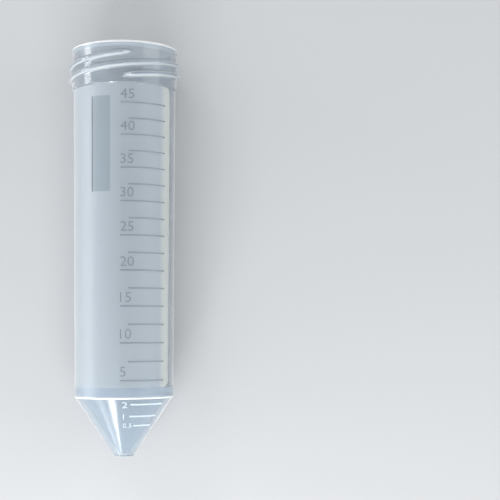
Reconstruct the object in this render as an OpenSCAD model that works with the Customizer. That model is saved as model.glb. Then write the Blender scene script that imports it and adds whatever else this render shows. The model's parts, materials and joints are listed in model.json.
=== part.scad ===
// 50 ml conical centrifuge tube: one injection moulding in natural polypropylene.
// It is drawn upright, tip at the origin and numbers to the front (-Y), and laid on its side at the end.
// Angles "from the front" are measured round the tube, positive to the right as one faces the scale.

/* [Body] */
// Length over all, from the flat tip to the rim
length = 115; // [112:0.5:118]
// Height of the shoulder, where the cone meets the body
shoulder_z = 16.8; // [16:0.1:17.5]
// Outer diameter of the body at the shoulder
shoulder_d = 27.44; // [27:0.02:28]
// Outer diameter of the body just under the neck
body_top_d = 28.76; // [28.4:0.02:28.9]
// Half angle of the cone, from the axis
cone_angle = 33.85; // [33:0.05:35]
// Radius of the rounded edge round the tip
tip_round = 0.8; // [0.4:0.1:1.2]
// Radius of the rounded edge at the shoulder
shoulder_round = 0.3; // [0.1:0.1:0.6]

/* [Bore] */
// Thickness of the floor inside the tip
floor_t = 1.45; // [1.2:0.05:2]
// Wall of the cone, square to its surface
cone_wall = 1.44; // [1.2:0.02:1.6]
// Wall of the body at the shoulder
body_wall = 1.36; // [1.1:0.02:1.6]

/* [Neck] */
// Height of the neck, from its step to the rim
neck_h = 12; // [11.5:0.1:13]
// Outer diameter of the neck, under the threads
neck_d = 29.4; // [29.2:0.1:29.8]
// Bore of the neck, which takes the plug of a cap
neck_bore = 27.06; // [26.8:0.02:27.3]
// Width of the round bead along the rim
rim_bead = 1.5; // [1.3:0.05:1.6]

/* [Threads] */
// Number of threads that start side by side
thread_starts = 3; // [2:1:3]
// Outer diameter over the threads
thread_d = 31.4; // [31:0.1:31.8]
// Rise of one thread in a full turn
thread_lead = 9.45; // [8.5:0.05:9.8]
// Angle that each thread runs round the neck
thread_sweep = 260; // [220:5:270]
// Height of the lower thread ends above the neck's step
thread_clear = 2.05; // [1.9:0.05:2.3]
// Where the first thread ends at the top, from the front
thread_end_angle = 12.5; // [0:2.5:115]

/* [Matt sleeve] */
// Height of the matt sleeve over the bare wall
sleeve_t = 0.03; // [0.02:0.01:0.08]
// Clear band between the shoulder and the sleeve
band_h = 2.95; // [2:0.05:4]
// Width of the clear sight strip that runs up the right side
strip_w = 14.6; // [10:0.2:18]
// Radius of the sleeve's corners along the sight strip
corner_r = 2; // [1:0.5:3]
// Middle of the plain panel in the sleeve, from the front
panel_at = -27.5; // [-35:0.5:-25]
// Width of the plain panel
panel_w = 5.6; // [4:0.1:6]
// Height of the plain panel
panel_h = 26.4; // [20:0.2:30]
// Distance from the neck down to the panel
panel_drop = 3.3; // [2:0.1:6]

/* [Scale] */
// Height of the scale lines over the surface
line_t = 0.12; // [0.08:0.01:0.2]
// Thickness of a scale line
line_w = 0.4; // [0.3:0.05:0.6]
// Step between two long lines, in millilitres
long_step = 5; // [5,10]
// Volume of the highest line, in millilitres
scale_top = 45; // [40,45]

/* [Rest] */
// Where the uppermost side of the laid tube is, from the front
top_angle = -7; // [-30:1:30]

/* [Hidden] */
$fn = 96;

overlap = 0.4;               // how far a raised feature is sunk into the wall that carries it
clearance = 1;               // how far a cutter runs past the face that it opens

// Outer wall
neck_z = length - neck_h;
neck_r = neck_d / 2;
bore_r = neck_bore / 2;
step_h = 0.4;                // height of the chamfer under the neck
cone_slope = tan(cone_angle);
tip_r = shoulder_d / 2 - shoulder_z * cone_slope;
flat_r = tip_r - tip_round / tan(45 + cone_angle / 2);
wall_slope = (body_top_d - shoulder_d) / 2 / (neck_z - shoulder_z);
function wall_r(z) = shoulder_d / 2 + (z - shoulder_z) * wall_slope;

// Bore: a cone, then a long taper, then the straight neck
floor_r = tip_r + floor_t * cone_slope - cone_wall / cos(cone_angle);
knee_r = shoulder_d / 2 - body_wall;
knee_z = floor_t + (knee_r - floor_r) / cone_slope;
bore_slope = (bore_r - knee_r) / (neck_z - knee_z);

// Rim
rim_trim = 0.04;             // how much of the bead's inner side the bore takes off
rim_r = bore_r + rim_bead / 2 - rim_trim;
rim_z = length - rim_bead / 2;

// Threads
thread_r = thread_d / 2;
thread_foot = 1.9;           // width of a thread where it leaves the neck
crest_round = 0.45;          // radius of its crest
thread_runout = 16;          // angle over which a thread rises out of the neck at each end
thread_step = 5;             // angle between two rings of a thread
thread_z = neck_z + thread_clear;
thread_rise = thread_lead * thread_sweep / 360;

// Matt sleeve
sleeve_z = shoulder_z + band_h;
panel_z = neck_z - panel_drop - panel_h / 2;

// Scale: a short line stands between two long ones. Ends are angles from the front.
ml = 1000;                   // cubic millimetres
long_line = [-4.7, 51];
short_line = [4.1, 51];
cone_lines = [[0.5, [17, 55]], [1, [8, 55]], [2, [8, 55]]];

// Volume of a slice of a cone from radius r0 to r1, and the radius at which a slice holds a volume
function slice(r0, r1, slope) = PI * (pow(r1, 3) - pow(r0, 3)) / 3 / slope;
function filled_r(volume, r0, slope) = pow(pow(r0, 3) + 3 * slope * volume / PI, 1 / 3);
cone_volume = slice(floor_r, knee_r, cone_slope);

// Height that a volume of liquid reaches in the upright tube
function level(volume) = volume < cone_volume
    ? floor_t + (filled_r(volume, floor_r, cone_slope) - floor_r) / cone_slope
    : knee_z + (filled_r(volume - cone_volume, knee_r, bore_slope) - knee_r) / bore_slope;

// Rest: the laid tube bears on the lower edge of its sleeve and on the lowest thread under it.
// A thread's drop is the angle from its top end back to the underside.
function drop(i) = (thread_end_angle + i * 360 / thread_starts + 180 - top_angle) % 360;
drops = [for (i = [0 : thread_starts - 1]) drop(i)];
bearing = [for (d = drops) if (d > thread_runout && d < thread_sweep - thread_runout) d];
rest_z = thread_z + thread_rise - thread_lead * max(bearing) / 360;
sleeve_r = wall_r(sleeve_z) + sleeve_t;
lean = atan((thread_r - sleeve_r) / (rest_z - sleeve_z));
rest_lift = sleeve_r * cos(lean) - sleeve_z * sin(lean);
tip_end = -flat_r * sin(lean) - tip_round * (1 - cos(lean));
mouth_end = rim_z * cos(lean) + rim_r * sin(lean) + rim_bead / 2;

// Points of the arc that rounds the corner b of the outline a, b, c
function unit(v) = v / norm(v);
function rounded(a, b, c, r, steps = 6) =
    let (u = unit(a - b), w = unit(c - b), half = acos(u * w) / 2,
         centre = b + unit(u + w) * r / sin(half),
         from = b + u * r / tan(half) - centre,
         to = b + w * r / tan(half) - centre,
         start = atan2(from.y, from.x),
         turn = (atan2(to.y, to.x) - start + 540) % 360 - 180)
    [for (i = [0 : steps]) let (t = start + turn * i / steps) centre + r * [cos(t), sin(t)]];

// The solid outer form, without rim and threads. Its seam lies between two rings of the threads.
module outer_form() {
    tip = [tip_r, 0];
    shoulder = [shoulder_d / 2, shoulder_z];
    body_top = [wall_r(neck_z), neck_z];
    rotate([0, 0, thread_end_angle + thread_step / 2])
        rotate_extrude()
            polygon(concat(
                [[0, 0]],
                rounded([0, 0], tip, shoulder, tip_round),
                rounded(tip, shoulder, body_top, shoulder_round),
                [body_top, [neck_r, neck_z + step_h], [neck_r, rim_z], [0, rim_z]]));
}

// Round bead along the rim
module rim() {
    rotate_extrude()
        translate([rim_r, rim_z])
            circle(d = rim_bead);
}

// Everything that is hollow, out through the mouth
module cavity() {
    rotate_extrude()
        polygon([[0, floor_t], [floor_r, floor_t], [knee_r, knee_z], [bore_r, neck_z],
                 [bore_r, length + clearance], [0, length + clearance]]);
}

// One thread, swept round the neck ring by ring. At both ends it sinks into the wall.
module thread() {
    height = thread_r - neck_r;
    half_foot = thread_foot / 2 * (1 + overlap / height);
    // Across the thread: x along the tube's axis, y from its foot (0) to its crest (1)
    crest = [for (a = [-75 : 25 : 75])
        [crest_round * sin(a), 1 - crest_round * (1 - cos(a)) / (height + overlap)]];
    section = concat([[-half_foot, 0]], crest, [[half_foot, 0]]);
    n = len(section);
    steps = thread_sweep / thread_step;

    function rise(turn) = min(1, turn / thread_runout, (thread_sweep - turn) / thread_runout);
    function top(turn) = height * rise(turn) - overlap / 2 * (1 - rise(turn));
    function ring(turn) =
        [for (p = section) let (r = neck_r - overlap + (top(turn) + overlap) * p.y)
            [r * cos(turn), r * sin(turn), p.x + thread_lead * turn / 360]];

    points = [for (i = [0 : steps]) each ring(i * thread_step)];
    sides = [for (i = [0 : steps - 1], j = [0 : n - 1])
        let (a = i * n + j, b = i * n + (j + 1) % n)
        each [[a, b, b + n], [a, b + n, a + n]]];
    lower_end = [for (j = [n - 1 : -1 : 0]) j];
    upper_end = [for (j = [0 : n - 1]) steps * n + j];
    polyhedron(points, concat(sides, [lower_end, upper_end]));
}

module threads() {
    first = thread_end_angle - 90 - thread_sweep;
    for (i = [0 : thread_starts - 1])
        rotate([0, 0, first + i * 360 / thread_starts])
            translate([0, 0, thread_z])
                thread();
}

// Thin matt layer on the body, open at the sight strip and at the plain panel
module sleeve() {
    difference() {
        rotate_extrude()
            polygon([[wall_r(sleeve_z) - overlap, sleeve_z], [wall_r(sleeve_z) + sleeve_t, sleeve_z],
                     [wall_r(neck_z) + sleeve_t, neck_z], [wall_r(neck_z) - overlap, neck_z]]);
        sight_strip();
        rotate([0, 0, panel_at])
            panel();
    }
}

// Cutter for the sight strip. It flares at both ends, so the sleeve keeps rounded corners.
module sight_strip() {
    half = strip_w / 2;
    top = neck_z - sleeve_z;
    away = half + corner_r + clearance;
    side = concat(
        [[away, -clearance]],
        rounded([away, 0], [half, 0], [half, top], corner_r),
        rounded([half, 0], [half, top], [away, top], corner_r),
        [[away, top + clearance]]);
    other_side = [for (i = [len(side) - 1 : -1 : 0]) [-side[i].x, side[i].y]];
    rotate([90, 0, 90])
        linear_extrude(neck_r)
            translate([0, sleeve_z])
                polygon(concat(side, other_side));
}

module panel() {
    depth = 4;
    translate([-panel_w / 2, -wall_r(neck_z) - depth / 2, panel_z - panel_h / 2])
        cube([panel_w, depth, panel_h]);
}

// One raised line, on a wall that stands at foot and leans out by an angle
module scale_line(foot, angle, ends) {
    out = [cos(angle), -sin(angle)];
    along = [sin(angle), cos(angle)] * line_w;
    rotate([0, 0, ends[0] - 90])
        rotate_extrude(angle = ends[1] - ends[0])
            polygon([foot - out * overlap - along / 2, foot + out * line_t - along / 3,
                     foot + out * line_t + along / 3, foot - out * overlap + along / 2]);
}

module scale_lines() {
    for (v = [long_step : long_step / 2 : scale_top]) {
        z = level(v * ml);
        is_long = v % long_step == 0;
        scale_line([wall_r(z) + sleeve_t, z], 0, is_long ? long_line : short_line);
    }
    for (mark = cone_lines) {
        z = level(mark[0] * ml);
        scale_line([tip_r + z * cone_slope, z], cone_angle, mark[1]);
    }
}

// The whole moulding, upright on its tip
module upright_tube() {
    difference() {
        union() {
            outer_form();
            rim();
            threads();
            sleeve();
            scale_lines();
        }
        cavity();
    }
}

// The tube as it comes to rest, mouth towards +Y and scale up, over the middle of its own footprint
module tube() {
    color([0.80, 0.85, 0.90, 0.75])
        translate([0, -(tip_end + mouth_end) / 2, rest_lift])
            rotate([lean - 90, 0, 0])
                rotate([0, 0, -top_angle])
                    upright_tube();
}

tube();
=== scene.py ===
"""The looks of the 50 ml conical tube: one moulded wall, and the raised numbers of its scale.

The tube is built upright and in millimetres. z is the height over the tip, r the distance from the
axis, and turn an angle round the axis in degrees, 0 at the front and positive to the right. laid()
puts it where the part lies, in metres.
"""

import json
from math import atan, cos, degrees, pi, radians, sin, tan

import bmesh
import bpy
import numpy as np
from mathutils import Matrix, Vector


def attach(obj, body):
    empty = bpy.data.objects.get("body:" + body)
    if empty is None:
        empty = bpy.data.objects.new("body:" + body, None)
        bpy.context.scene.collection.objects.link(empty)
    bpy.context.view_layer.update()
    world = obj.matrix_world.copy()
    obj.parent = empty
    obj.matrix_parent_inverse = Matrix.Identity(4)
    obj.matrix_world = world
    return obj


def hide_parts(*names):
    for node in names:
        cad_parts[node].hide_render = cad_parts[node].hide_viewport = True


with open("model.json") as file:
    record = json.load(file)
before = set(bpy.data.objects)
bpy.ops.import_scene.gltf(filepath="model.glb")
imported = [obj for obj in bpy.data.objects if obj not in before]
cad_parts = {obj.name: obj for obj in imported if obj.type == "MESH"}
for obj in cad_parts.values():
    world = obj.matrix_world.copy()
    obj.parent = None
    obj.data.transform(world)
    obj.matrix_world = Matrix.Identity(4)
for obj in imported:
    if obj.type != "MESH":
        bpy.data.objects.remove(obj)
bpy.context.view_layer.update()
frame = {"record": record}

MM = 0.001

# Body, as in the part's source
LENGTH = 115.0
SHOULDER_Z = 16.8
SHOULDER_R = 13.72
BODY_TOP_R = 14.38
CONE_ANGLE = radians(33.85)
TIP_ROUND = 0.8
SHOULDER_ROUND = 0.3
FLOOR_T = 1.45
CONE_WALL = 1.44
BODY_WALL = 1.36

# Neck, with a round bead along its rim
NECK_H = 12.0
NECK_R = 14.7
STEP_H = 0.4
BORE_R = 13.53
BEAD_R = 0.75
BEAD_TRIM = 0.04            # how much of the bead's inner side the bore cuts off

# Threads
STARTS = 3
THREAD_R = 15.7
LEAD = 9.45
SWEEP = 260.0               # degrees that each thread runs round the neck
RUNOUT = 16.0               # degrees over which it fades at each end
THREAD_CLEAR = 2.05         # height of a thread's lower end over the foot of the neck
THREAD_END = 12.5           # angle at which the first thread ends at the top
THREAD_FOOT = 1.9           # width at the neck's face
SUNK = 0.4                  # how deep a thread's section goes on under that face
CREST_ROUND = 0.45
CREST_ARC = radians(75)     # half of the round crest's arc
FOOT_ROUND = 0.08           # height of the small fillet at the foot

# Matt sleeve, with a clear band under it, a clear sight strip on the right and a clear panel
SLEEVE_T = 0.03
BAND_H = 2.95
STRIP_AT = 90.0
STRIP_W = 14.6
CORNER_R = 2.0
PANEL_AT = -27.5
PANEL_W = 5.6
PANEL_H = 26.4
PANEL_DROP = 3.3            # from the neck down to the panel

# Lines of the scale: the angles of their two ends, by volume in ml
LINE_T = 0.12
LINE_W = 0.4
LONG_LINE = (-4.7, 51.0)
SHORT_LINE = (4.1, 51.0)
BODY_VOLUMES = np.arange(5, 45.1, 2.5)
LONG_EVERY = 5              # ml between the long lines, which have the numbers
CONE_LINES = {0.5: (17.0, 55.0), 1: (8.0, 55.0), 2: (8.0, 55.0)}

# Numbers of the scale. Those on the cone have an angle and a height for their lower left corner,
# a digit height, and a width as a share of the typeface's own
NUMBER_H = 2.6
NUMBER_RISE = 1.15          # from the middle of a line to the foot of its number
NUMBER_WIDTH = 1.08
NUMBER_SUNK = 0.03          # how deep the numbers go on under the surface that they stand on
CONE_NUMBERS = {
    "2": (-2.6, 14.25, 1.95, 1.2),
    "1": (-1.5, 11.05, 1.8, 1.08),
    "0.5": (-2.2, 8.7, 1.4, 1.0),
}
DIGIT_THIN = -0.012         # offset that makes the typeface's strokes thinner
DIGIT_CURVE = 4             # points along each of its curves
WELD = 1e-5                 # distance within which a digit's points become one

# How the tube lies
MOUTH_AT = 109.0            # height of the point that the mount "mouth" names
TOP_ANGLE = radians(-7)     # where the uppermost side of the laid tube is, from the front

# Where the finishes meet
THREAD_MILKY = 0.3          # height at which the flank of a thread starts to look milky
THREAD_CLEAR_TOP = 0.93     # height at which it ends, and the crest looks clear
TIP_HIGHLIGHT_R = 1.0             # radius outside which the tip's round edge takes the milky finish, as a painted highlight
RIM_HIGHLIGHT = 0.78            # how far down from the rim the bead is painted white, as a painted highlight
PANEL_SHADE = 0.7           # half the width of the painted shadow down the panel's left side, in degrees
STRIP_HIGHLIGHT_START = 18.0            # degrees from the sight strip at which the sleeve begins to turn paler, as a painted highlight
STRIP_HIGHLIGHT_FADE = 8.0             # degrees over which it does

# Worked out
NECK_Z = LENGTH - NECK_H
SLEEVE_Z = SHOULDER_Z + BAND_H
SLOPE = tan(CONE_ANGLE)
TIP_R = SHOULDER_R - SHOULDER_Z * SLOPE
WALL_SLOPE = (BODY_TOP_R - SHOULDER_R) / (NECK_Z - SHOULDER_Z)
FLOOR_R = TIP_R + FLOOR_T * SLOPE - CONE_WALL / cos(CONE_ANGLE)
KNEE_R = SHOULDER_R - BODY_WALL
KNEE_Z = FLOOR_T + (KNEE_R - FLOOR_R) / SLOPE
BORE_SLOPE = (BORE_R - KNEE_R) / (NECK_Z - KNEE_Z)
RIM_Z = LENGTH - BEAD_R
RIM_R = BORE_R + BEAD_R - BEAD_TRIM
PANEL_Z = NECK_Z - PANEL_DROP - PANEL_H / 2
THREAD_Z = NECK_Z + THREAD_CLEAR
HALF_PANEL = degrees(PANEL_W / 2 / BODY_TOP_R)
HALF_STRIP = degrees(STRIP_W / 2 / BODY_TOP_R)


def wall_r(z):
    """Outer radius of the body."""
    return SHOULDER_R + (z - SHOULDER_Z) * WALL_SLOPE


def level(volume):
    """Height that a volume in millilitres reaches in the upright tube.

    The bore is one cone on another. What a cone holds is pi / 3 times the difference of the cubes of
    its two radii, over its slope.
    """
    held = volume * 1000 * 3 / pi
    in_cone = (KNEE_R**3 - FLOOR_R**3) / SLOPE
    if held < in_cone:
        return FLOOR_T + (np.cbrt(FLOOR_R**3 + SLOPE * held) - FLOOR_R) / SLOPE
    return KNEE_Z + (np.cbrt(KNEE_R**3 + BORE_SLOPE * (held - in_cone)) - KNEE_R) / BORE_SLOPE


# Each line's ends by its height
BODY_MARKS = {level(v): SHORT_LINE if v % LONG_EVERY else LONG_LINE for v in BODY_VOLUMES}
CONE_MARKS = {level(v): ends for v, ends in CONE_LINES.items()}

# Where the tube lies: its axis is that of the mount at the mouth. LAY turns its own directions,
# which are to the right, to the front and up, into those of the frame
mouth = next(m for m in frame["record"]["mounts"] if m["name"] == "mouth")
AXIS = Vector(mouth["axis"]).normalized()
ACROSS = Vector((1, 0, 0))
TOP = ACROSS.cross(AXIS)
RIGHT = ACROSS * cos(TOP_ANGLE) + TOP * sin(TOP_ANGLE)
FRONT = TOP * cos(TOP_ANGLE) - ACROSS * sin(TOP_ANGLE)
TIP = Vector(mouth["pos_m"]) - AXIS * MOUTH_AT * MM
LAY = np.array((RIGHT, FRONT, AXIS)).T


def laid(r, turn, z):
    """Points of the laid tube, in metres, from arrays of its own coordinates."""
    angle = np.radians(turn)
    own = np.stack(np.broadcast_arrays(r * np.sin(angle), r * np.cos(angle), z), -1)
    return own @ LAY.T * MM + np.array(TIP)


# ---------------------------------------------------------------- rings and columns of the wall

EDGE = 0.015                # width of the steep faces at the side of a raised feature
EDGE_TURN = 0.06            # the same in degrees
APART = 0.001               # between two rings that would share a height
SUPPORT = 0.2               # distance of the rings that hold the shoulder's bend
BEND = 0.1                  # width of the bends in the bore
CONE_START = 1.0            # from the tip's round edge to the first ring of the cone
TIP_RINGS = 7
CONE_RINGS = 8
SHOULDER_RINGS = 8
CORNER_RINGS = 6
SLEEVE_STEP = 4.0
THREAD_ROWS = (0.6, 10.2)   # heights over the foot of the neck between which its rings are close
THREAD_STEP = 0.1
RIM_RINGS = 16
NECK_BORE = (113.0, 110.0, 106.5)
BODY_BORE_RINGS = 20
CONE_BORE_RINGS = 8
COLUMN_STEP = 1.5
COLUMN_GAP = 0.7            # how close the even columns come to those at a feature's sides
BEND_REACH = 20.0           # degrees from the strip within which the columns bend with its sides
DECIMALS = 4                # rings and columns that agree to this many become one

# Rings at a line's foot and top, as shares of its width, and where its top ends between them
LINE_ROWS = (-1 / 2, -1 / 3, 1 / 3, 1 / 2)
LINE_TOP = 0.4

# Columns near the ends of lines and the sides of the panel and the strip, in degrees from them
LINE_COLUMNS = (-0.25, 0.0, 0.25)
LINE_END = 0.1
PANEL_COLUMNS = (-0.6, 0.0, EDGE_TURN, 0.6)
STRIP_COLUMNS = (-0.6, 0.0, 0.3, 0.9)


def arc_rows(zone, z, r, radius, angles):
    """Rings along an arc round the point z, r. An angle of 0 points away from the axis."""
    return [(z + radius * sin(a), r + radius * cos(a), zone) for a in angles]


def line_rows(marks):
    """Heights of the rings that shape the lines at some heights."""
    return [z + share * LINE_W for z in marks for share in LINE_ROWS]


def tip_rows():
    """Rings of the flat end and of the round edge of the tip."""
    flat_r = TIP_R - TIP_ROUND / tan((pi / 2 + CONE_ANGLE) / 2)
    angles = np.linspace(-pi / 2, -CONE_ANGLE, TIP_RINGS)
    return [(0.0, 0.0, "tip")] + arc_rows("tip", TIP_ROUND, flat_r, TIP_ROUND, angles)


def cone_rows(start):
    """Rings of the cone from a height, with those of its lines."""
    even = np.linspace(start, SHOULDER_Z - 2 * SUPPORT, CONE_RINGS)
    return [(z, TIP_R + z * SLOPE, "cone") for z in sorted([*even, *line_rows(CONE_MARKS)])]


def shoulder_rows():
    """Rings of the rounded bend between the cone and the body."""
    low, high = CONE_ANGLE, atan(WALL_SLOPE)
    back = SHOULDER_ROUND * tan((low - high) / 2)
    middle_z = SHOULDER_Z + back * cos(high) + SHOULDER_ROUND * sin(high)
    middle_r = wall_r(SHOULDER_Z + back * cos(high)) - SHOULDER_ROUND * cos(high)
    below = (SHOULDER_Z - SUPPORT, TIP_R + (SHOULDER_Z - SUPPORT) * SLOPE, "shoulder")
    above = (SHOULDER_Z + SUPPORT, wall_r(SHOULDER_Z + SUPPORT), "shoulder")
    angles = np.linspace(-low, -high, SHOULDER_RINGS)
    return [below, *arc_rows("shoulder", middle_z, middle_r, SHOULDER_ROUND, angles), above]


def body_rows():
    """Rings of the clear band and of the sleeve, with close pairs at the panel's ends."""
    band = (SHOULDER_Z + 2 * SUPPORT, SLEEVE_Z - 4 * SUPPORT, SLEEVE_Z)
    corners = [CORNER_R * (1 - sin(a)) for a in np.linspace(0, pi / 2, CORNER_RINGS)]
    sleeve = [SLEEVE_Z + EDGE + h for h in corners] + [NECK_Z - EDGE - h for h in corners]
    sleeve += list(np.arange(SLEEVE_Z + SLEEVE_STEP, NECK_Z - CORNER_R, SLEEVE_STEP))
    sleeve += [PANEL_Z + side * PANEL_H / 2 + step for side in (-1, 1) for step in (0, EDGE)]
    sleeve = sorted(set(np.round(sleeve + line_rows(BODY_MARKS), DECIMALS)))
    return [(z, wall_r(z), "band") for z in band] + [(z, wall_r(z), "sleeve") for z in sleeve]


def neck_rows():
    """Rings of the step and of the neck, close enough to shape the threads."""
    foot = [(NECK_Z + APART, wall_r(NECK_Z), "neck"), (NECK_Z + STEP_H, NECK_R, "neck")]
    first, last = THREAD_ROWS
    return foot + [(z, NECK_R, "neck") for z in np.arange(NECK_Z + first, NECK_Z + last, THREAD_STEP)]


def rim_rows():
    """Rings of the bead, from the neck's face round to the bore."""
    outer, inner = np.arccos((NECK_R - RIM_R) / BEAD_R), np.arccos((BORE_R - RIM_R) / BEAD_R)
    return arc_rows("rim", RIM_Z, RIM_R, BEAD_R, np.linspace(-outer, inner, RIM_RINGS))


def bore_rows():
    """Rings from the rim down to the middle of the floor."""
    body = np.linspace(NECK_Z - BEND, KNEE_Z + BEND / 2, BODY_BORE_RINGS)
    cone = np.linspace(KNEE_Z - BEND / 2, FLOOR_T + BEND, CONE_BORE_RINGS)
    rows = [(z, BORE_R) for z in (*NECK_BORE, NECK_Z + BEND)]
    rows += [(z, KNEE_R + (z - KNEE_Z) * BORE_SLOPE) for z in body]
    rows += [(z, FLOOR_R + (z - FLOOR_T) * SLOPE) for z in cone]
    return [(z, r, "bore") for z, r in [*rows, (FLOOR_T, FLOOR_R - BEND), (FLOOR_T, 0.0)]]


def wall_rows():
    """(z, r, zone) of every ring, from the middle of the tip over the rim to the middle of the floor."""
    tip = tip_rows()
    cone = cone_rows(tip[-1][0] + CONE_START)
    return tip + cone + shoulder_rows() + body_rows() + neck_rows() + rim_rows() + bore_rows()


def wall_columns():
    """Angles of the columns that run up the wall, with those at the sides of every raised feature."""
    ends = {end for pair in (LONG_LINE, SHORT_LINE, *CONE_LINES.values()) for end in pair}
    near = [end + step for end in ends for step in LINE_COLUMNS]
    near += [PANEL_AT + side * HALF_PANEL + step for side in (-1, 1) for step in PANEL_COLUMNS]
    near += [STRIP_AT + side * HALF_STRIP + step for side in (-1, 1) for step in STRIP_COLUMNS]
    even = [c for c in np.arange(-180, 180, COLUMN_STEP) if min(abs(c - n) for n in near) > COLUMN_GAP]
    return np.array(sorted(set(np.round(even + near, DECIMALS))))


# ---------------------------------------------------------------- features of the wall


def from_strip(turn):
    """Degrees past the side of the sight strip, and negative inside it."""
    return np.abs(turn - STRIP_AT) - HALF_STRIP


def strip_bend(turn, z):
    """Degrees to shift each point by, so that the strip's sides bend outwards at the sleeve's ends."""
    to_end = np.minimum(z - SLEEVE_Z, NECK_Z - z) - EDGE
    into = np.clip(CORNER_R - to_end, 0, CORNER_R)
    outwards = (CORNER_R - np.sqrt(CORNER_R**2 - into**2)) * np.clip(1 + to_end / CORNER_R, 0, 1)
    pull = np.clip(1 - np.abs(from_strip(turn)) / BEND_REACH, 0, 1)
    return np.sign(turn - STRIP_AT) * np.degrees(outwards / BODY_TOP_R) * pull


def in_panel(turn, z):
    """The clear panel to the left of the scale."""
    across = np.abs(turn - PANEL_AT - EDGE_TURN / 2) < HALF_PANEL
    return across & (np.abs(z - PANEL_Z - EDGE / 2) < PANEL_H / 2)


def on_panel_side(turn, z):
    """A painted shadow: the narrow dark line down the panel's left side, on the outside and on the bore
    behind it.
    """
    across = np.abs(turn - PANEL_AT + HALF_PANEL) < PANEL_SHADE
    return across & (np.abs(z - PANEL_Z) < PANEL_H / 2 + EDGE / 3)


def on_line(turn, z):
    """The raised tops of the scale's lines."""
    top = np.zeros(turn.shape, bool)
    for at, (first, last) in (BODY_MARKS | CONE_MARKS).items():
        along = (turn > first + LINE_END) & (turn < last - LINE_END)
        top |= along & (np.abs(z - at) < LINE_W * LINE_TOP)
    return top


def thread_height(turn, z):
    """How far the threads stand out of the neck."""
    full_h = THREAD_R - NECK_R
    arc_w = CREST_ROUND * sin(CREST_ARC)
    arc_h = full_h - CREST_ROUND * (1 - cos(CREST_ARC))
    foot_w = THREAD_FOOT / 2 * (1 + SUNK / full_h)
    highest = np.zeros(turn.shape)
    for start in range(STARTS):
        along = (turn - THREAD_END + SWEEP - start * 360 / STARTS) % 360
        off = np.abs(z - THREAD_Z - LEAD * along / 360)
        crest = full_h - CREST_ROUND + np.sqrt(np.maximum(CREST_ROUND**2 - off**2, 0))
        flank = arc_h - (off - arc_w) * (arc_h + SUNK) / (foot_w - arc_w)
        section = np.where(off < arc_w, crest, flank)

        # The whole section sinks into the neck at both ends of the thread
        share = np.minimum(1, np.minimum(along, SWEEP - along) / RUNOUT)
        top = full_h * share - SUNK / 2 * (1 - share)
        height = (section + SUNK) * (top + SUNK) / (full_h + SUNK) - SUNK
        height = np.where(along < SWEEP, height, -SUNK)
        fillet = (height + FOOT_ROUND) ** 2 / (4 * FOOT_ROUND)
        height = np.where(np.abs(height) < FOOT_ROUND, fillet, np.maximum(height, 0))
        highest = np.maximum(highest, height)
    return highest


# ---------------------------------------------------------------- materials

IOR = 1.49
SHEEN_ROUGHNESS = 0.3
CLOUD_SCALE = 55            # of the noise that varies colour and roughness
CLOUD_DETAIL = 3
COLOR_SPREAD = 0.025        # shares by which they vary
ROUGHNESS_SPREAD = 0.1
GRAIN_SCALE = 900
GRAIN_DEPTH = 0.0001


def wire(tree, node, inputs):
    """Give a node's inputs, by name or number, their values or the outputs that feed them."""
    for name, source in inputs.items():
        if isinstance(source, bpy.types.NodeSocket):
            tree.links.new(source, node.inputs[name])
        else:
            node.inputs[name].default_value = source
    return node


def mixed(tree, share, low, high):
    """A colour that goes from low to high with the share."""
    mix = tree.nodes.new("ShaderNodeMix")
    mix.data_type = "RGBA"
    return wire(tree, mix, {"Factor": share, "A": low, "B": high}).outputs["Result"]


def plastic(name, color, roughness, transmission, sheen=0.0, bump=0.0, strip_highlight=None):
    """Natural polypropylene. Its last argument, if given, is a painted highlight: the paler colour that it
    takes close to the sight strip.
    """
    mat = bpy.data.materials.new(name)
    mat.use_nodes = True
    tree = mat.node_tree
    shader = tree.nodes["Principled BSDF"]
    place = tree.nodes.new("ShaderNodeTexCoord").outputs["Object"]
    noise = {"Vector": place, "Scale": CLOUD_SCALE, "Detail": CLOUD_DETAIL}
    cloud = wire(tree, tree.nodes.new("ShaderNodeTexNoise"), noise).outputs["Fac"]
    darker = (*[v * (1 - COLOR_SPREAD) for v in color], 1)
    paler = (*[min(1, v * (1 + COLOR_SPREAD)) for v in color], 1)
    base = mixed(tree, cloud, darker, paler)
    # A painted highlight: the colour turns paler near the sight strip
    if strip_highlight:
        near = tree.nodes.new("ShaderNodeAttribute")
        near.attribute_name = "strip_highlight"
        base = mixed(tree, near.outputs["Fac"], base, (*strip_highlight, 1))
    low, high = roughness * (1 - ROUGHNESS_SPREAD), roughness * (1 + ROUGHNESS_SPREAD)
    spread = {"Value": cloud, "To Min": low, "To Max": high}
    rough = wire(tree, tree.nodes.new("ShaderNodeMapRange"), spread).outputs["Result"]
    wire(tree, shader, {"Base Color": base, "Roughness": rough, "IOR": IOR,
                        "Transmission Weight": transmission,
                        "Sheen Weight": sheen, "Sheen Roughness": SHEEN_ROUGHNESS})
    if bump:
        noise = {"Vector": place, "Scale": GRAIN_SCALE}
        grain = wire(tree, tree.nodes.new("ShaderNodeTexNoise"), noise).outputs["Fac"]
        relief = {"Height": grain, "Strength": bump, "Distance": GRAIN_DEPTH}
        normal = wire(tree, tree.nodes.new("ShaderNodeBump"), relief).outputs["Normal"]
        wire(tree, shader, {"Normal": normal})
    return mat


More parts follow.
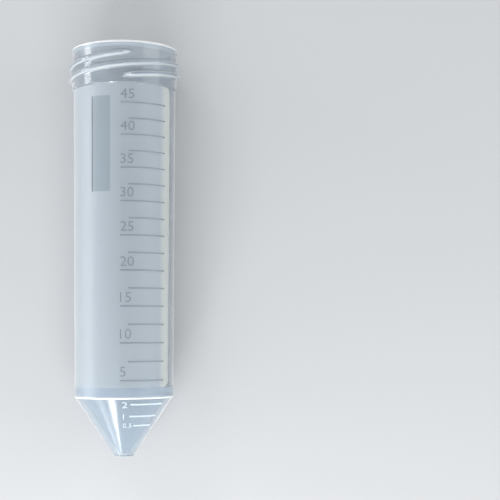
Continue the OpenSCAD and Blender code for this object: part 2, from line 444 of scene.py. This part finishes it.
# One material for each finish of the moulding, in the order of the wall's material slots
FINISHES = {
    "clear": plastic("pp_clear", (0.71, 0.80, 0.88), 0.16, 0.80, sheen=1.0),
    # The matt sleeve is painted paler near the sight strip, a painted highlight
    "matt": plastic("pp_matt", (0.63, 0.69, 0.74), 0.5, 0.60, sheen=1.0, bump=0.2,
                    strip_highlight=(0.92, 0.945, 0.89)),
    "line": plastic("pp_line", (0.30, 0.355, 0.40), 0.3, 0.35),
    "cone_line": plastic("pp_cone_line", (0.74, 0.83, 0.91), 0.4, 0.1),
    # milky on the thread flanks, and a painted highlight on the tip's round edge
    "milky_and_highlight": plastic("pp_milky_and_highlight", (0.80, 0.84, 0.87), 0.15, 0.5),
    "strip": plastic("pp_strip", (0.505, 0.55, 0.59), 0.12, 0.70, sheen=0.9),
    # near white: a painted highlight on the shoulder's round and the rim's bead
    "edge": plastic("pp_highlight", (0.93, 0.95, 0.96), 0.3, 0.1),
    "band": plastic("pp_band", (0.67, 0.775, 0.87), 0.38, 0.75, sheen=0.5),
    "panel": plastic("pp_panel", (0.39, 0.455, 0.505), 0.28, 0.45, sheen=0.4),
    # a painted shadow down the panel's left side
    "panel_shadow": plastic("pp_panel_shadow", (0.09, 0.11, 0.13), 0.3, 0.1),
}


# ---------------------------------------------------------------- the wall

SHARP = radians(28)         # faces that meet at more than this show an edge


def ring_mesh(name, points):
    """A closed mesh from rings of points. The first and the last ring are one point each."""
    rings, around = len(points) - 2, points.shape[1]
    verts = np.vstack([points[1:-1].reshape(-1, 3), points[0, 0], points[-1, 0]])
    ring, here = np.meshgrid(np.arange(rings - 1) * around, np.arange(around), indexing="ij")
    there = (here + 1) % around
    above = ring + around
    quads = np.stack([ring + here, ring + there, above + there, above + here], -1)
    first, last, start = rings * around, rings * around + 1, (rings - 1) * around
    faces = quads.reshape(-1, 4).tolist()
    faces += [(first, (c + 1) % around, c) for c in range(around)]
    faces += [(last, start + c, start + (c + 1) % around) for c in range(around)]
    mesh = bpy.data.meshes.new(name)
    mesh.from_pydata(verts.tolist(), [], faces)
    return mesh


def at_corners(points):
    """For every quad of the rings, whether each of its four corners is among the points."""
    below, above = points[1:-2], points[2:-1]
    return below, above, np.roll(below, -1, 1), np.roll(above, -1, 1)


def touched(points):
    """The quads with at least one corner among the points."""
    return np.logical_or.reduce(at_corners(points))


def within(points):
    """The quads with all four corners among the points."""
    return np.logical_and.reduce(at_corners(points))


def build_wall():
    """The wall with its raised features, and a finish on each of its faces."""
    ring_z, ring_r, ring_zone = (np.array(part)[:, None] for part in zip(*wall_rows()))
    z, r, zone, turn = np.broadcast_arrays(ring_z, ring_r, ring_zone, wall_columns())
    cone, neck, sleeve = zone == "cone", zone == "neck", zone == "sleeve"
    outside = zone != "bore"

    # The raised features, on columns that bend with the strip's sides
    panel = in_panel(turn, z) & sleeve
    strip = (from_strip(turn) < EDGE_TURN / 2) & sleeve
    matt = sleeve & ~strip & ~panel
    line = on_line(turn, z) & outside
    bent = turn + np.where(outside, strip_bend(turn, z), 0)
    threads = np.where(neck, thread_height(bent, z), 0)
    raised = np.where(matt, SLEEVE_T, 0.0) + line * LINE_T
    out_r = r + raised * np.where(cone, cos(CONE_ANGLE), 1) + threads
    out_z = z - raised * np.where(cone, sin(CONE_ANGLE), 0)
    mesh = ring_mesh("tube_wall", laid(out_r, bent, out_z))

    # Painted highlight: how much paler the sleeve is painted near the strip, for the matt material
    pale = np.where(sleeve, np.clip((STRIP_HIGHLIGHT_START - from_strip(turn)) / STRIP_HIGHLIGHT_FADE, 0, 1), 0)
    strip_highlight = mesh.attributes.new("strip_highlight", "FLOAT", "POINT")
    strip_highlight.data.foreach_set("value", [*pale[1:-1].ravel(), 0.0, 0.0])

    # Where each finish goes. A later one covers those before it, and clear is what is left
    flank = (threads > THREAD_MILKY) & (threads < THREAD_CLEAR_TOP)
    # A painted highlight: the tip's round edge takes the milky finish
    tip_highlight = (zone == "tip") & (r > TIP_HIGHLIGHT_R)
    # Painted highlights: the shoulder's round and the rim's bead are painted near white
    highlight_rings = (zone == "shoulder") | (z > LENGTH - RIM_HIGHLIGHT)
    areas = (
        ("band", touched(zone == "band")),
        ("strip", within(strip | panel | neck & (threads < THREAD_MILKY))),
        ("matt", touched(matt)),
        ("line", touched(line)),
        ("cone_line", touched(line & cone)),
        ("panel", within(panel)),
        # a painted shadow down the panel's left side
        ("panel_shadow", within(on_panel_side(turn, z))),
        ("milky_and_highlight", within(flank | tip_highlight)),
        ("edge", within(highlight_rings)),
    )
    slot_of = {name: slot for slot, name in enumerate(FINISHES)}
    slots = np.full(len(mesh.polygons), slot_of["clear"], np.int32)
    for name, area in areas:
        slots[:area.size][area.ravel()] = slot_of[name]

    wall = bpy.data.objects.new("tube_wall", mesh)
    bpy.context.scene.collection.objects.link(wall)
    mesh.validate()
    for mat in FINISHES.values():
        mesh.materials.append(mat)
    mesh.polygons.foreach_set("material_index", slots)
    mesh.polygons.foreach_set("use_smooth", np.ones(len(mesh.polygons), bool))
    mesh.set_sharp_from_angle(angle=SHARP)
    mesh.update()
    return wall


wall = build_wall()
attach(wall, "root")
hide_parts("tube")


# ---------------------------------------------------------------- numbers


def digits(text):
    """A number in Blender's own typeface, as a flat slab that faces along z."""
    curve = bpy.data.curves.new("digits", "FONT")
    curve.body = text
    curve.resolution_u = DIGIT_CURVE
    curve.offset = DIGIT_THIN
    curve.extrude = 0.5         # any depth will do, as number() sets the real one
    typed = bpy.data.objects.new("digits", curve)
    bpy.context.scene.collection.objects.link(typed)
    bpy.context.view_layer.update()
    slab = bpy.data.meshes.new_from_object(typed.evaluated_get(bpy.context.evaluated_depsgraph_get()))
    bpy.data.objects.remove(typed)
    return slab


def number(text, turn, z, height, width, on_cone):
    """A raised number. turn and z are the left and lower edges of its first digit."""
    shape = digits(text)
    bm = bmesh.new()
    bm.from_mesh(shape)
    bmesh.ops.remove_doubles(bm, verts=bm.verts, dist=WELD)
    typed = np.array([v.co for v in bm.verts])
    low, high = typed.min(0), typed.max(0)
    scale = height / (high[1] - low[1])
    across = (typed[:, 0] - low[0]) * scale * width
    up = (typed[:, 1] - low[1]) * scale
    out = np.where(typed[:, 2] > 0, LINE_T, -NUMBER_SUNK)
    if on_cone:
        foot_r = TIP_R + z * SLOPE
        at = z + up * cos(CONE_ANGLE)
        r = TIP_R + at * SLOPE + out * cos(CONE_ANGLE)
        places = laid(r, turn + np.degrees(across / foot_r), at - out * sin(CONE_ANGLE))
    else:
        r = wall_r(z + up) + SLEEVE_T + out
        places = laid(r, turn + np.degrees(across / BODY_TOP_R), z + up)
    for vert, place in zip(bm.verts, places):
        vert.co = place
    bmesh.ops.recalc_face_normals(bm, faces=bm.faces)
    bm.to_mesh(shape)
    bm.free()
    return shape


def joined(name, shapes, mat):
    """One piece from several numbers."""
    bm = bmesh.new()
    for shape in shapes:
        bm.from_mesh(shape)
        bpy.data.meshes.remove(shape)
    mesh = bpy.data.meshes.new(name)
    bm.to_mesh(mesh)
    bm.free()
    mesh.materials.append(mat)
    obj = bpy.data.objects.new(name, mesh)
    bpy.context.scene.collection.objects.link(obj)
    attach(obj, "root")


def body_number(volume):
    """The number over the line for a volume in millilitres."""
    foot = level(volume) + NUMBER_RISE
    return number(str(int(volume)), LONG_LINE[0], foot, NUMBER_H, NUMBER_WIDTH, on_cone=False)


joined("scale_numbers", [body_number(v) for v in BODY_VOLUMES if v % LONG_EVERY == 0], FINISHES["line"])
joined("cone_numbers", [number(text, *place, on_cone=True) for text, place in CONE_NUMBERS.items()],
       FINISHES["cone_line"])


# ---------------------------------------------------------------- stage, light and camera

WORLD = (0.96, 0.98, 1.0)
WORLD_LIGHT = 0.62
FLOOR = (0.55, 0.56, 0.57)
FLOOR_SIZE = 4
FLOOR_NEAR = 0.13           # from here to FLOOR_FAR the floor fades into the colour of the world
FLOOR_FAR = 0.28


def calculated(tree, operation, a, b):
    """The result of a Math node on two values."""
    node = tree.nodes.new("ShaderNodeMath")
    node.operation = operation
    return wire(tree, node, {0: a, 1: b}).outputs["Value"]


def floor_material():
    """A plain pale floor, which turns into the world's colour far from the tube, so no horizon is seen."""
    mat = bpy.data.materials.new("floor")
    mat.use_nodes = True
    tree = mat.node_tree
    shader = tree.nodes["Principled BSDF"]
    wire(tree, shader, {"Base Color": (*FLOOR, 1), "Roughness": 0.9, "Specular IOR Level": 0.1})

    away = tree.nodes.new("ShaderNodeVectorMath")
    away.operation = "LENGTH"
    wire(tree, away, {0: tree.nodes.new("ShaderNodeTexCoord").outputs["Object"]})
    fade = tree.nodes.new("ShaderNodeMapRange")
    fade.interpolation_type = "SMOOTHSTEP"
    wire(tree, fade, {"Value": away.outputs["Value"], "From Min": FLOOR_NEAR, "From Max": FLOOR_FAR})

    ray = tree.nodes.new("ShaderNodeLightPath").outputs
    seen = calculated(tree, "MAXIMUM", ray["Is Camera Ray"], ray["Is Glossy Ray"])
    seen = calculated(tree, "MAXIMUM", seen, ray["Is Transmission Ray"])
    share = calculated(tree, "MULTIPLY", seen, fade.outputs["Result"])
    plain = tree.nodes.new("ShaderNodeEmission")
    wire(tree, plain, {"Color": (*WORLD, 1), "Strength": WORLD_LIGHT})
    mix = tree.nodes.new("ShaderNodeMixShader")
    wire(tree, mix, {"Fac": share, 1: shader.outputs["BSDF"], 2: plain.outputs["Emission"]})
    wire(tree, tree.nodes["Material Output"], {"Surface": mix.outputs["Shader"]})
    return mat


bpy.ops.mesh.primitive_plane_add(size=FLOOR_SIZE, location=(0, 0, 0))
floor = bpy.context.object
floor.name = "floor"
floor.data.materials.append(floor_material())


def lamp(name, place, aim, size, power):
    """A soft rectangular lamp that faces a point on the tube."""
    data = bpy.data.lights.new(name, "AREA")
    data.shape = "RECTANGLE"
    data.size, data.size_y = size
    data.energy = power
    obj = bpy.data.objects.new(name, data)
    obj.location = place
    obj.rotation_euler = (Vector(aim) - Vector(place)).to_track_quat("-Z", "Y").to_euler()
    bpy.context.scene.collection.objects.link(obj)


# Places on the laid tube, in metres
MIDDLE = (0, 0, 0.015)
CONE = (0, -0.045, 0.015)
CONE_TIP = (0, -0.05, 0.015)
MOUTH = (0, 0.055, 0.02)

lamp("key", (-0.6, -0.03, 0.10), MIDDLE, (0.7, 0.2), 2.75)
lamp("right", (0.5, 0.0, 0.22), MIDDLE, (0.5, 0.4), 1.05)
lamp("tip_side", (-0.185, -0.578, 0.21), CONE, (0.12, 0.12), 0.85)
lamp("tip_left", (-0.33, -0.49, 0.05), CONE, (0.3, 0.1), 0.3)
lamp("over_tip", (0, -0.22, 0.26), CONE_TIP, (0.3, 0.15), 0.65)
lamp("mouth_side", (-0.25, 0.5, 0.4), MOUTH, (0.3, 0.1), 0.6)

world = bpy.data.worlds.new("studio")
world.use_nodes = True
background = world.node_tree.nodes["Background"]
wire(world.node_tree, background, {"Color": (*WORLD, 1), "Strength": WORLD_LIGHT})
bpy.context.scene.world = world

FACED_Z = 33.9              # height on the tube of the point that the camera stands straight in front of
CAMERA_AWAY = 362.5
AIM_RIGHT = 35.7            # from that point to the one that the camera looks at
AIM_UP = 24.2
ROLL = radians(-0.23)
LENS = 92
SENSOR = 36

faced = TIP + AXIS * FACED_Z * MM
eye = faced + FRONT * CAMERA_AWAY * MM
target = faced + RIGHT * AIM_RIGHT * MM + AXIS * AIM_UP * MM
back = (eye - target).normalized()
right = AXIS.cross(back).normalized()
up = back.cross(right)
turned = Matrix((right, up, back)).transposed() @ Matrix.Rotation(ROLL, 3, "Z")
camera = bpy.data.objects.new("camera", bpy.data.cameras.new("camera"))
camera.data.lens = LENS
camera.data.sensor_width = SENSOR
camera.matrix_world = Matrix.Translation(eye) @ turned.to_4x4()
bpy.context.scene.collection.objects.link(camera)
bpy.context.scene.camera = camera
bpy.context.scene.view_settings.view_transform = "Standard"
